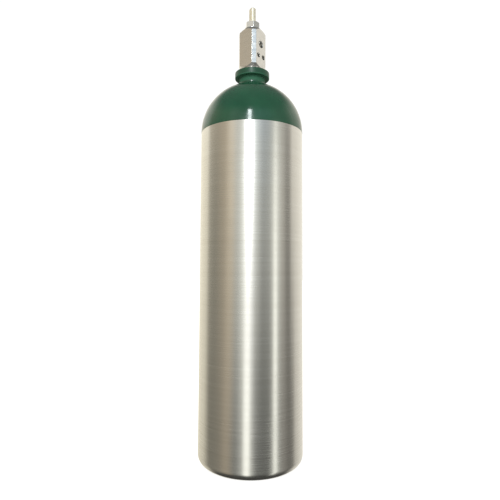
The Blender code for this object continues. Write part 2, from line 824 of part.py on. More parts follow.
def relief_vents(head_top):
    """The plug's blind bore, and the cross holes that let the gas out sideways."""
    low = RELIEF_PLUG_END - OVERRUN
    bore = rod("relief_vent_bore", VENT_BORE_RADIUS, low, head_top - 1.0 * MM, steps=THREAD_STEPS)
    cutters = [lay_along_x(bore, RELIEF_HEIGHT)]
    reach = RELIEF_HEX / 2 + 3.0 * MM
    for number, turn in enumerate((0, 60, 120), 1):
        vent = rod(f"relief_vent_{number}", VENT_RADIUS, -reach, reach, steps=10)
        vent.location = (POST_WIDTH / 2 + 1.7 * MM, 0, above_neck(RELIEF_HEIGHT))
        vent.rotation_euler = (math.radians(turn), 0, 0)
        cutters.append(vent)
    return cutters


def make_relief_device(model):
    """The burst disc, its gasket and the vented plug that clamps them, along +X."""
    head_low = POST_WIDTH / 2 + GAP
    head_top = head_low + RELIEF_HEAD
    plug = hexagon("relief_plug", RELIEF_HEX, head_low, head_top, RELIEF_TURN)
    model.part(lay_along_x(plug, RELIEF_HEIGHT), "brass")
    thread = male_thread("relief_plug_thread", RELIEF_THREAD, 2.5, RELIEF_THREAD_START)
    model.combine(plug, "INTERSECT", lay_along_x(relief_chamfer(head_top), RELIEF_HEIGHT))
    model.combine(plug, "UNION", lay_along_x(relief_shank(), RELIEF_HEIGHT))
    model.combine(plug, "UNION", lay_along_x(thread, RELIEF_HEIGHT))
    model.combine(plug, "DIFFERENCE", *relief_vents(head_top))
    disc_low = RELIEF_BORE_FLOOR + GAP
    disc_high = disc_low + 0.4 * MM
    disc = rod("burst_disc", DISC_RADIUS, disc_low, disc_high)
    model.part(lay_along_x(disc, RELIEF_HEIGHT), "copper")
    gasket = ring("disc_gasket", 1.8 * MM, DISC_RADIUS, disc_high + GAP, RELIEF_PLUG_END - GAP)
    model.part(lay_along_x(gasket, RELIEF_HEIGHT), "nylon")


def main():
    for obj in list(bpy.data.objects):
        bpy.data.objects.remove(obj)
    model = Model()
    make_vessel(model)
    make_valve_body(model)
    make_debris_tube(model)
    make_plunger(model)
    make_stem(model)
    make_gland(model)
    make_packing(model)
    make_relief_device(model)


main()
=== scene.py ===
import math

import bmesh
import bpy
from mathutils import Matrix, Vector


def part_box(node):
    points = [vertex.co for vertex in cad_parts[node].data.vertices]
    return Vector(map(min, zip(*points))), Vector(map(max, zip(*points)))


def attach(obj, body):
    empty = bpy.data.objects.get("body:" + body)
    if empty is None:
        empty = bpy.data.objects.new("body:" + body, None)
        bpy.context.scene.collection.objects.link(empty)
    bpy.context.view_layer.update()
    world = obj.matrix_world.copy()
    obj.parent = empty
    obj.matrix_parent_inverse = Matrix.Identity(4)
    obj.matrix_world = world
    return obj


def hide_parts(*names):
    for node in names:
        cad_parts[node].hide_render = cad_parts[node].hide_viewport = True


# The looks of a portable medical oxygen cylinder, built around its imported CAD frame. Metres, +Z up.

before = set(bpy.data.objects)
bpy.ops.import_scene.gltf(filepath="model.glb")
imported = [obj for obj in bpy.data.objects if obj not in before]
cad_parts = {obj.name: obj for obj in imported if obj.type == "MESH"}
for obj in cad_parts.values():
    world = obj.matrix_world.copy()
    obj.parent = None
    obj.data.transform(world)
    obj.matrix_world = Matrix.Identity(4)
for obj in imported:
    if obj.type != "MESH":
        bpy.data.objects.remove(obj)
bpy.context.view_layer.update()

MM = 0.001

# Driving places, all from the frame.
VESSEL_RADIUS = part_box("cylinder_shell")[1].x
NECK_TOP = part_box("cylinder_shell")[1].z
STEM_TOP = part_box("valve_stem")[1].z
GLAND_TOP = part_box("gland_nut")[1].z

# Vessel, as in the CAD.
SHOULDER_HEIGHT = 350.0 * MM
DOME_TOP = SHOULDER_HEIGHT + VESSEL_RADIUS
PAINT_LINE = 349.3 * MM
PAINT_THICKNESS = 0.12 * MM
PAINT_EDGE = 0.10 * MM
WALL = 5.2 * MM
CAVITY_CORNER = 15.0 * MM
CAVITY_RISE = 45.0 * MM  # of the cavity's own dome, above the shoulder
FOOT_CORNER = 8.4 * MM
FOOT_RING_INNER = 34.0 * MM
FOOT_RING_EDGE = 1.0 * MM
FOOT_HOLLOW = 4.0 * MM
FOOT_HOLLOW_RIM = 0.3 * MM
FLOOR_THICKNESS = 9.0 * MM
LIP_RADIUS = 19.05 * MM
LIP_BOTTOM = 412.3 * MM
LIP_EDGE = 0.7 * MM
GROOVE_RADIUS = 14.2 * MM
GROOVE_ROOT = 0.5 * MM
GROOVE_FILLET = 2.2 * MM
SEAL_POCKET_RADIUS = 12.1 * MM
SEAL_POCKET_DEPTH = 2.9 * MM
NECK_BORE = 9.7 * MM
NECK_BORE_CHAMFER = 0.8 * MM

# The valve's post, as in the CAD. Heights are above the top of the neck.
POST_WIDTH = 24.4 * MM
POST_DEPTH = 24.0 * MM
POST_CHAMFER = 3.5 * MM
POST_EDGE = 0.35 * MM
POST_TURNED_EDGE = 0.3 * MM
POST_BOTTOM = 3.0 * MM
POST_FOOT_RADIUS = 10.8 * MM
POST_CORNER_RADIUS = 17.4 * MM
POST_SHOULDER_DROP = 8.2 * MM
BOSS_TOP = 50.0 * MM
BOSS_RADIUS = 9.8 * MM
BOSS_EDGE = 0.7 * MM
COLLAR_RADIUS = 12.7 * MM
COLLAR_TOP_RADIUS = 10.4 * MM
COLLAR_CONE = (2.6 * MM, 4.2 * MM)
COLLAR_BOTTOM = 0.3 * MM
SPIGOT_EDGE = 0.25 * MM
SHANK_RADIUS = 9.2 * MM
SHANK_BOTTOM = -1.9 * MM
SHANK_CHAMFER = 0.7 * MM
INLET_RADIUS = 8.55 * MM
INLET_BOTTOM = -21.0 * MM
INLET_CHAMFER = 0.8 * MM
GLAND_BORE_RADIUS = 7.3 * MM
GLAND_SEAT = 43.6 * MM
CHAMBER_RADIUS = 6.1 * MM
SEAT_FLOOR = 21.1 * MM
INLET_PASSAGE_RADIUS = 2.2 * MM
FILTER_BORE_RADIUS = 3.5 * MM
FILTER_BORE_TOP = -9.0 * MM
OUTLET_HEIGHT = 30.5 * MM
OUTLET_RADIUS = 3.6 * MM
OUTLET_DEPTH = 5.0 * MM
OUTLET_CHAMFER = 0.5 * MM
OUTLET_TIP = 0.7 * MM
OUTLET_PASSAGE_HEIGHT = 28.4 * MM
OUTLET_PASSAGE_RADIUS = 1.3 * MM
PIN_ARC_RADIUS = 14.3 * MM
PIN_ANGLES = (math.radians(-18), math.radians(18))
PIN_HOLE_RADIUS = 2.375 * MM
PIN_HOLE_DEPTH = 5.5 * MM
PIN_HOLE_CHAMFER = 0.25 * MM
PIN_HOLE_TIP = 1.0 * MM
DIMPLE_RADIUS = 4.4 * MM
DIMPLE_TIP_RADIUS = 0.8 * MM
DIMPLE_DEPTH = 2.8 * MM

# The stem, the gland nut and the relief plug, as in the CAD. A hexagon's end chamfer has how far inside
# the flat it starts, how far outside it ends, and how far down.
STEM_ANGLE = math.radians(-23)
STEM_RADIUS = 3.9 * MM
STEM_EDGE = 0.7 * MM
STEM_SOFTENING = 0.2 * MM
STEM_FLATS = 5.0 * MM
STEM_FLATS_BOTTOM = 60.2 * MM
STEM_COLLAR_RADIUS = 5.4 * MM
STEM_COLLAR_TOP = 43.0 * MM
STEM_COLLAR_BOTTOM = 40.8 * MM
STEM_NECK_RADIUS = 4.4 * MM
STEM_BOTTOM = 39.4 * MM
TANG_SIZE = (2.2 * MM, 7.8 * MM, 6.0 * MM)
TANG_MIDDLE = 37.6 * MM
GLAND_HEX = 14.3 * MM
GLAND_HEX_EDGE = 0.25 * MM
GLAND_CHAMFER = (0.4 * MM, 1.4 * MM, 1.0 * MM)
GLAND_FOOT_CHAMFER = (-0.2 * MM, 0.5 * MM)
GLAND_TURN = math.radians(17)
GLAND_MOUTH = 0.5 * MM
GLAND_SHANK_RADIUS = 6.6 * MM
GLAND_SHANK_LENGTH = 5.4 * MM
PACKING_RADIUS = 5.5 * MM
PACKING_TOP = 49.2 * MM
RELIEF_HEIGHT = 12.0 * MM
RELIEF_TURN = math.radians(8)
RELIEF_HEX = 10.0 * MM
RELIEF_HEX_EDGE = 0.2 * MM
RELIEF_CHAMFER = (0.3 * MM, 0.9 * MM, 0.7 * MM)
RELIEF_HEAD = 3.2 * MM
RELIEF_SHANK_RADIUS = 3.9 * MM
RELIEF_SHANK_END = 6.8 * MM
RELIEF_BORE_RADIUS = 4.3 * MM
RELIEF_BORE_FLOOR = 4.9 * MM
RELIEF_PASSAGE_RADIUS = 1.1 * MM
RELIEF_FACE = 1.0 * MM
VENT_BORE_RADIUS = 1.6 * MM
VENT_RADIUS = 0.6 * MM
VENT_STAND_OFF = 1.7 * MM  # from the post's side
VENT_TURNS = (0, 60, 120)

HEXAGON_EDGE = 0.15 * MM
GAP = 0.3 * MM  # between pieces that touch
STEM_GAP = 0.25 * MM  # between the stem and the gland nut
OVERRUN = 2.0 * MM  # how far a cutter passes the face that it opens, or a joined piece is sunk in

# Steps round the vessel, the other turned pieces, small bores and the vents.
ROUND = 192
FINE = 96
SMALL = 48
TINY = 24

# Camera: its azimuth about the object, its distance and height, and how far it looks up.
CAMERA_AZIMUTH = math.radians(-53)
CAMERA_DISTANCE = 0.500
CAMERA_HEIGHT = 0.2051
CAMERA_PITCH = 0.064
CAMERA_YAW = math.radians(0.17)
CAMERA_ROLL = math.radians(0.30)
CAMERA_LENS = 32.95
CAMERA_SENSOR = 36.0
CAMERA_SHIFT = -0.028
CAMERA_NEAR = 10.0 * MM

# The one lamp, a tall window on the camera's side, in degrees right of the camera and above level.
WINDOW_AZIMUTH = -5
WINDOW_ELEVATION = 29
WINDOW_DISTANCE = 1.6
WINDOW_SIZE = (0.18, 0.72)
WINDOW_POWER = 10.0
WINDOW_COLOUR = (0.93, 0.98, 1.0)
WINDOW_AIM_HEIGHT = 4 * VESSEL_RADIUS

# The white backdrop, and a floor that shines a little so that only a faint contact shadow shows on it.
BACKDROP_STRENGTH = 1.05
FLOOR_RADIUS = 6.0
FLOOR_DROP = 0.2 * MM
FLOOR_COLOUR = (0.55, 0.54, 0.52)
FLOOR_GLOW = 0.78


# ---------------------------------------------------------------- camera, floor and light


def make_camera():
    data = bpy.data.cameras.new("camera")
    data.sensor_width = CAMERA_SENSOR
    data.lens = CAMERA_LENS
    data.shift_y = CAMERA_SHIFT
    data.clip_start = CAMERA_NEAR
    camera = bpy.data.objects.new("camera", data)
    back = Vector((math.sin(CAMERA_AZIMUTH), -math.cos(CAMERA_AZIMUTH), 0))
    camera.location = back * CAMERA_DISTANCE + Vector((0, 0, CAMERA_HEIGHT))
    ahead = -back * math.cos(CAMERA_PITCH) + Vector((0, 0, math.sin(CAMERA_PITCH)))
    ahead.rotate(Matrix.Rotation(CAMERA_YAW, 3, "Z"))
    upright = ahead.to_track_quat("-Z", "Y").to_matrix().to_4x4()
    roll = Matrix.Rotation(CAMERA_ROLL, 4, "Z")
    camera.matrix_world = Matrix.Translation(camera.location) @ upright @ roll
    bpy.context.scene.collection.objects.link(camera)
    bpy.context.scene.camera = camera


class Nodes:
    """A node tree with short calls for the nodes that the materials share."""

    def __init__(self, tree):
        self.tree = tree
        tree.nodes.clear()

    def add(self, kind, **settings):
        node = self.tree.nodes.new(kind)
        for name, value in settings.items():
            setattr(node, name, value)
        return node

    def link(self, source, target):
        self.tree.links.new(source, target)

    def feed(self, socket, value):
        """Links an output to a socket, or sets the socket to a number or to a colour of three parts."""
        if isinstance(value, bpy.types.NodeSocket):
            self.link(value, socket)
        elif isinstance(value, tuple):
            socket.default_value = (*value, 1)
        else:
            socket.default_value = value

    def math(self, operation, first, second):
        node = self.add("ShaderNodeMath", operation=operation)
        self.feed(node.inputs[0], first)
        self.feed(node.inputs[1], second)
        return node.outputs[0]

    def place(self, scale=(1, 1, 1)):
        """Object coordinates times a scale, which is how many noise cells a metre holds along each axis."""
        source = self.add("ShaderNodeTexCoord")
        mapping = self.add("ShaderNodeMapping")
        mapping.inputs["Scale"].default_value = scale
        self.link(source.outputs["Object"], mapping.inputs["Vector"])
        return mapping.outputs["Vector"]

    def height(self):
        """The object's own Z, in metres."""
        split = self.add("ShaderNodeSeparateXYZ")
        self.link(self.place(), split.inputs["Vector"])
        return split.outputs["Z"]

    def noise(self, vector, detail=4.0, roughness=0.55):
        node = self.add("ShaderNodeTexNoise")
        self.link(vector, node.inputs["Vector"])
        node.inputs["Scale"].default_value = 1.0
        node.inputs["Detail"].default_value = detail
        node.inputs["Roughness"].default_value = roughness
        return node.outputs["Fac"]

    def remap(self, value, low, high, new_low, new_high):
        node = self.add("ShaderNodeMapRange")
        self.feed(node.inputs["Value"], value)
        node.inputs["From Min"].default_value = low
        node.inputs["From Max"].default_value = high
        node.inputs["To Min"].default_value = new_low
        node.inputs["To Max"].default_value = new_high
        return node.outputs["Result"]

    def mix(self, factor, first, second):
        node = self.add("ShaderNodeMix", data_type="RGBA")
        self.feed(node.inputs["Factor"], factor)
        self.feed(node.inputs["A"], first)
        self.feed(node.inputs["B"], second)
        return node.outputs["Result"]

    def ramp(self, value, stops):
        node = self.add("ShaderNodeValToRGB")
        node.color_ramp.interpolation = "EASE"
        elements = node.color_ramp.elements
        while len(elements) < len(stops):
            elements.new(0.5)
        for element, (position, colour) in zip(elements, stops):
            element.position = position
            element.color = (*colour, 1)
        self.link(value, node.inputs["Fac"])
        return node.outputs["Color"]

    def bump(self, height, strength, distance, normal=None):
        node = self.add("ShaderNodeBump")
        node.inputs["Strength"].default_value = strength
        node.inputs["Distance"].default_value = distance
        self.link(height, node.inputs["Height"])
        if normal is not None:
            self.link(normal, node.inputs["Normal"])
        return node.outputs["Normal"]


# What the object's reflections show: the studio's tints, and rings of cards and soft lights round the
# object, high up, at eye level and low down. A card is (degrees right of the camera, brightness, tint).
WARM = (1.00, 0.94, 0.77)
TAN = (1.00, 0.87, 0.67)
CREAM = (1.00, 0.96, 0.86)
PLAIN = (1.00, 1.01, 0.93)
WHITE = (1.00, 1.00, 0.99)
COOL = (0.74, 0.88, 1.00)
CEILING = (0.22, 0.22, 0.21)
GROUND = (0.06, 0.06, 0.055)
HIGH_CARDS = (
    (-180, 1.10, CREAM),
    (-150, 1.20, CREAM),
    (-120, 1.30, CREAM),
    (-100, 0.72, TAN),
    (-75, 0.54, TAN),
    (-62, 0.56, TAN),
    (-42, 0.82, CREAM),
    (-20, 0.55, PLAIN),
    (-8, 0.84, COOL),
    (16, 0.92, COOL),
    (30, 0.70, COOL),
    (60, 0.48, PLAIN),
    (80, 0.43, PLAIN),
    (94, 0.62, CREAM),
    (106, 0.94, CREAM),
    (128, 0.97, CREAM),
    (150, 1.00, CREAM),
    (180, 1.10, CREAM),
)
UPPER_CARDS = (
    (-180, 0.45, WARM),
    (-172, 1.12, WARM),
    (-139, 1.04, WARM),
    (-116, 0.95, WARM),
    (-105, 0.42, WARM),
    (-86, 0.33, WARM),
    (-65, 0.48, TAN),
    (-44, 0.88, TAN),
    (-31, 0.74, PLAIN),
    (-17, 1.14, PLAIN),
    (-9, 1.52, WHITE),
    (-1, 1.50, WHITE),
    (10, 0.86, PLAIN),
    (25, 0.46, PLAIN),
    (38, 0.54, PLAIN),
    (48, 0.86, PLAIN),
    (51, 1.48, PLAIN),
    (56, 1.34, PLAIN),
    (60, 0.86, PLAIN),
    (72, 0.60, CREAM),
    (84, 0.30, CREAM),
    (91, 0.32, CREAM),
    (101, 0.82, CREAM),
    (139, 1.00, CREAM),
    (172, 1.12, CREAM),
    (180, 0.45, CREAM),
)
LOWER_CARDS = (
    (-180, 0.34, WARM),
    (-172, 0.94, WARM),
    (-124, 0.74, WARM),
    (-112, 0.50, WARM),
    (-100, 0.21, WARM),
    (-75, 0.24, WARM),
    (-54, 0.37, TAN),
    (-33, 0.20, PLAIN),
    (-19, 0.40, PLAIN),
    (-12, 1.32, PLAIN),
    (-5, 1.42, PLAIN),
    (2, 0.44, PLAIN),
    (12, 0.12, PLAIN),
    (38, 0.12, PLAIN),
    (47, 0.30, PLAIN),
    (51, 1.32, PLAIN),
    (57, 1.27, PLAIN),
    (61, 0.34, PLAIN),
    (74, 0.26, CREAM),
    (92, 0.16, CREAM),
    (104, 0.17, CREAM),
    (113, 0.62, CREAM),
    (139, 0.86, CREAM),
    (172, 0.98, CREAM),
    (180, 0.34, CREAM),
)

# Where one ring changes into the next: the sines of the elevations that the change starts and ends at.
LOWER_TO_UPPER = (-0.38, 0.16)
UPPER_TO_HIGH = (0.26, 0.36)
HIGH_TO_CEILING = (0.55, 0.75)
LOWER_TO_GROUND = (-0.62, -0.80)


def ring_of_cards(nodes, turn, cards):
    """The colour that a ring shows, from a turn that runs from 0 to 1 once round the object."""
    stops = []
    for angle, brightness, tint in cards:
        stops.append((0.5 + angle / 360, [brightness * part for part in tint]))
    return nodes.ramp(turn, stops)


def make_world():
    """An evenly white studio, with grey and bright cards that only the object's reflections show."""
    world = bpy.data.worlds.new("studio")
    bpy.context.scene.world = world
    world.use_nodes = True
    nodes = Nodes(world.node_tree)
    source = nodes.add("ShaderNodeTexCoord")
    facing = nodes.add("ShaderNodeVectorRotate", rotation_type="Z_AXIS")
    facing.inputs["Angle"].default_value = math.radians(90) - CAMERA_AZIMUTH
    nodes.link(source.outputs["Generated"], facing.inputs["Vector"])
    split = nodes.add("ShaderNodeSeparateXYZ")
    nodes.link(facing.outputs["Vector"], split.inputs["Vector"])
    azimuth = nodes.math("ARCTAN2", split.outputs["Y"], split.outputs["X"])
    turn = nodes.remap(azimuth, -math.pi, math.pi, 0, 1)
    high = ring_of_cards(nodes, turn, HIGH_CARDS)
    upper = ring_of_cards(nodes, turn, UPPER_CARDS)
    lower = ring_of_cards(nodes, turn, LOWER_CARDS)
    level = split.outputs["Z"]
    cards = nodes.mix(nodes.remap(level, *LOWER_TO_UPPER, 0, 1), lower, upper)
    cards = nodes.mix(nodes.remap(level, *UPPER_TO_HIGH, 0, 1), cards, high)
    cards = nodes.mix(nodes.remap(level, *HIGH_TO_CEILING, 0, 1), cards, CEILING)
    cards = nodes.mix(nodes.remap(level, *LOWER_TO_GROUND, 0, 1), cards, GROUND)
    reflected = nodes.add("ShaderNodeBackground")
    nodes.link(cards, reflected.inputs["Color"])
    backdrop = nodes.add("ShaderNodeBackground")
    backdrop.inputs["Color"].default_value = (1, 1, 1, 1)
    backdrop.inputs["Strength"].default_value = BACKDROP_STRENGTH
    ray = nodes.add("ShaderNodeLightPath")
    chosen = nodes.add("ShaderNodeMixShader")
    even = nodes.math("MAXIMUM", ray.outputs["Is Camera Ray"], ray.outputs["Is Diffuse Ray"])
    nodes.link(even, chosen.inputs["Fac"])
    nodes.link(reflected.outputs[0], chosen.inputs[1])
    nodes.link(backdrop.outputs[0], chosen.inputs[2])
    output = nodes.add("ShaderNodeOutputWorld")
    nodes.link(chosen.outputs[0], output.inputs["Surface"])


def make_floor():
    """A pale floor that the object's reflections don't show."""
    bm = bmesh.new()
    bmesh.ops.create_circle(bm, cap_ends=True, radius=FLOOR_RADIUS, segments=FINE)
    floor = from_bmesh("floor", bm)
    floor.location.z = -FLOOR_DROP
    material = bpy.data.materials.new("pale_floor")
    material.use_nodes = True
    nodes = Nodes(material.node_tree)
    diffuse = nodes.add("ShaderNodeBsdfDiffuse")
    diffuse.inputs["Color"].default_value = (*FLOOR_COLOUR, 1)
    glow = nodes.add("ShaderNodeEmission")
    glow.inputs["Color"].default_value = (1, 1, 1, 1)
    ray = nodes.add("ShaderNodeLightPath")
    nodes.link(nodes.math("MULTIPLY", ray.outputs["Is Camera Ray"], FLOOR_GLOW), glow.inputs["Strength"])
    both = nodes.add("ShaderNodeAddShader")
    nodes.link(diffuse.outputs[0], both.inputs[0])
    nodes.link(glow.outputs[0], both.inputs[1])
    output = nodes.add("ShaderNodeOutputMaterial")
    nodes.link(both.outputs[0], output.inputs["Surface"])
    floor.data.materials.append(material)
    floor.visible_glossy = False


def make_window():
    data = bpy.data.lights.new("window", "AREA")
    data.shape = "RECTANGLE"
    data.size, data.size_y = WINDOW_SIZE
    data.energy = WINDOW_POWER
    data.color = WINDOW_COLOUR
    window = bpy.data.objects.new("window", data)
    turn = CAMERA_AZIMUTH + math.radians(WINDOW_AZIMUTH)
    rise = math.radians(WINDOW_ELEVATION)
    away = Vector((math.sin(turn) * math.cos(rise), -math.cos(turn) * math.cos(rise), math.sin(rise)))
    window.location = away * WINDOW_DISTANCE + Vector((0, 0, WINDOW_AIM_HEIGHT))
    window.rotation_euler = away.to_track_quat("Z", "Y").to_euler()
    window.visible_camera = False
    bpy.context.scene.collection.objects.link(window)


# ---------------------------------------------------------------- mesh tools


def from_bmesh(name, bm):
    mesh = bpy.data.meshes.new(name)
    bm.to_mesh(mesh)
    bm.free()
    obj = bpy.data.objects.new(name, mesh)
    bpy.context.scene.collection.objects.link(obj)
    return obj


def arc(centre, radius, start, end, count):
    """Points along a circular arc in the (radius, height) plane, both ends included, in degrees."""
    points = []
    for i in range(count):
        angle = math.radians(start + (end - start) * i / (count - 1))
        points.append((centre[0] + radius * math.cos(angle), centre[1] + radius * math.sin(angle)))
    return points


def softened(outline, radius):
    """The outline with each inner corner rounded to that radius, or to less where a side is short."""
    most_of_side = 0.45
    least_reach = 0.01 * MM
    nearly_straight = math.radians(172)
    points_per_corner = 4
    result = [outline[0]]
    for before, corner, after in zip(outline, outline[1:], outline[2:]):
        corner = Vector(corner)
        back, ahead = Vector(before) - corner, Vector(after) - corner
        turn = back.angle(ahead)
        reach = min(radius / math.tan(turn / 2), back.length * most_of_side, ahead.length * most_of_side)
        if reach < least_reach or turn > nearly_straight:
            result.append(tuple(corner))
            continue
        first, last = corner + back.normalized() * reach, corner + ahead.normalized() * reach
        for i in range(points_per_corner):
            t = i / (points_per_corner - 1)
            result.append(tuple(first * (1 - t) ** 2 + corner * 2 * t * (1 - t) + last * t**2))
    result.append(outline[-1])
    return result


def turned(name, outline, steps=FINE, round_by=0.0):
    """A closed solid of revolution about Z, from (radius, height) points that go once round its section."""
    if round_by:
        outline = softened(outline, round_by)
    bm = bmesh.new()
    verts = [bm.verts.new((radius, 0, height)) for radius, height in outline]
    edges = [bm.edges.new(pair) for pair in zip(verts, verts[1:])]
    if outline[0][0] > 0:
        edges.append(bm.edges.new((verts[-1], verts[0])))
    bmesh.ops.spin(
        bm,
        geom=verts + edges,
        cent=(0, 0, 0),
        axis=(0, 0, 1),
        angle=2 * math.pi,
        steps=steps,
        use_merge=True,
    )
    bmesh.ops.remove_doubles(bm, verts=bm.verts, dist=0.0001 * MM)
    bmesh.ops.recalc_face_normals(bm, faces=bm.faces)
    return from_bmesh(name, bm)


def turned_in_valve(name, outline, steps=FINE, round_by=0.0):
    """A turned solid whose heights are above the top of the neck."""
    return turned(name, [(radius, NECK_TOP + height) for radius, height in outline], steps, round_by)


def rod(name, radius, low, high, steps=FINE):
    return turned(name, [(0, high), (radius, high), (radius, low), (0, low)], steps)


def hexagon(name, across_flats, low, high, turn, edge):
    """A hexagonal prism about Z with rounded upright edges."""
    bm = bmesh.new()
    bmesh.ops.create_cone(
        bm,
        cap_ends=True,
        segments=6,
        radius1=across_flats / math.sqrt(3),
        radius2=across_flats / math.sqrt(3),
        depth=high - low,
        matrix=Matrix.Translation((0, 0, (high + low) / 2)) @ Matrix.Rotation(turn, 4, "Z"),
    )
    half = (high - low) / 2
    upright = [item for item in bm.edges if abs(item.verts[0].co.z - item.verts[1].co.z) > half]
    bmesh.ops.bevel(
        bm,
        geom=upright,
        offset=edge,
        offset_type="OFFSET",
        segments=3,
        profile=0.5,
        affect="EDGES",
    )
    return from_bmesh(name, bm)


def block(name, size, centre):
    """A box square to the stem's flats."""
    bm = bmesh.new()
    place = Matrix.Rotation(STEM_ANGLE, 4, "Z") @ Matrix.Translation(centre) @ Matrix.Diagonal((*size, 1))
    bmesh.ops.create_cube(bm, size=1.0, matrix=place)
    return from_bmesh(name, bm)


def carve(piece, operation, *others):
    """Joins, cuts or trims the piece by the others, which are used up."""
    for other in others:
        boolean = piece.modifiers.new(operation, "BOOLEAN")
        boolean.operation = operation
        boolean.solver = "EXACT"
        boolean.object = other
    bpy.context.view_layer.update()
    shape = bpy.data.meshes.new_from_object(piece.evaluated_get(bpy.context.evaluated_depsgraph_get()))
    piece.modifiers.clear()
    piece.data = shape
    for other in others:
        bpy.data.objects.remove(other)
    return piece


def lay_along_x(piece, height):
    """Turns a piece that was made along Z so that its +Z end points to +X."""
    lift = Matrix.Translation((0, 0, NECK_TOP + height))
    piece.data.transform(lift @ Matrix.Rotation(math.radians(90), 4, "Y"))
    return piece


def lay_along_y(piece, x, height):
    """Turns a piece that was made along Z so that its +Z end points to -Y."""
    lift = Matrix.Translation((x, 0, NECK_TOP + height))
    piece.data.transform(lift @ Matrix.Rotation(math.radians(90), 4, "X"))
    return piece


def smooth(piece, angle=30):
    """Shades the piece smooth, with edges sharper than the angle kept sharp."""
    piece.data.shade_smooth()
    piece.data.set_sharp_from_angle(angle=math.radians(angle))
    weighted = piece.modifiers.new("weighted", "WEIGHTED_NORMAL")
    weighted.keep_sharp = True


def finish(piece, material, body, replaced):
    piece.data.materials.clear()
    piece.data.materials.append(material)
    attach(piece, body)
    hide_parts(replaced)


# ---------------------------------------------------------------- materials


ALUMINIUM = (0.76, 0.75, 0.72)
ALUMINIUM_LINE_DARK = (0.70, 0.69, 0.66)
ALUMINIUM_LINE_LIGHT = (0.80, 0.79, 0.76)
ALUMINIUM_BAND = (0.66, 0.64, 0.60)
ALUMINIUM_MARK = (0.60, 0.585, 0.55)
GREEN = (0.013, 0.072, 0.035)
GREEN_DARK = (0.010, 0.060, 0.031)
GREEN_LIGHT = (0.014, 0.076, 0.039)
GREEN_RUBBED = (0.024, 0.098, 0.054)
# Painted light: a paler green for the groove under the lip, which lifts the shade that the lip casts there.
GREEN_PAINTED_LIGHT_IN_GROOVE = (0.026, 0.128, 0.068)
CHROME = (0.80, 0.79, 0.77)
BRIGHT_CHROME = (0.80, 0.80, 0.79)
PALE_BRASS = (0.96, 0.91, 0.77)
BRASS = (0.78, 0.62, 0.34)
COPPER = (0.72, 0.40, 0.28)
RUBBER = (0.018, 0.018, 0.018)
NYLON = (0.80, 0.79, 0.75)


def scaled(colour, factor):
    return tuple(factor * part for part in colour)


def new_material(name, colour, roughness, metallic):
    """A material with its shader's constant values set, and its node helper."""
    material = bpy.data.materials.new(name)
    material.use_nodes = True
    nodes = Nodes(material.node_tree)
    shader = nodes.add("ShaderNodeBsdfPrincipled")
    output = nodes.add("ShaderNodeOutputMaterial")
    nodes.link(shader.outputs["BSDF"], output.inputs["Surface"])
    shader.inputs["Base Color"].default_value = (*colour, 1)
    shader.inputs["Roughness"].default_value = roughness
    shader.inputs["Metallic"].default_value = metallic
    return material, nodes, shader


def spun_aluminium():
    """Bare aluminium with fine turning lines round it, broader bands, and soft handling marks."""
    material, nodes, shader = new_material("spun_aluminium", ALUMINIUM, 0.24, 1.0)
    shader.inputs["Anisotropic"].default_value = 0.6
    shader.inputs["Anisotropic Rotation"].default_value = 0.25
    tangent = nodes.add("ShaderNodeTangent", direction_type="RADIAL", axis="Z")
    nodes.link(tangent.outputs["Tangent"], shader.inputs["Tangent"])
    fine = nodes.noise(nodes.place((5, 5, 1500)), detail=5, roughness=0.7)
    broad = nodes.noise(nodes.place((3, 3, 160)), detail=3)
    marks = nodes.noise(nodes.place((14, 14, 7)), detail=6, roughness=0.6)
    colour = nodes.mix(nodes.remap(fine, 0.3, 0.7, 0, 1), ALUMINIUM_LINE_DARK, ALUMINIUM_LINE_LIGHT)
    colour = nodes.mix(nodes.remap(broad, 0.35, 0.65, 0, 0.35), colour, ALUMINIUM_BAND)
    colour = nodes.mix(nodes.remap(marks, 0.5, 0.75, 0, 0.25), colour, ALUMINIUM_MARK)
    nodes.link(colour, shader.inputs["Base Color"])
    rough = nodes.math("ADD", nodes.remap(fine, 0.3, 0.7, 0.17, 0.27), nodes.remap(marks, 0.4, 0.7, 0, 0.07))
    nodes.link(rough, shader.inputs["Roughness"])
    normal = nodes.bump(fine, 0.10, 0.02 * MM)
    normal = nodes.bump(broad, 0.08, 0.10 * MM, normal)
    nodes.link(normal, shader.inputs["Normal"])
    return material


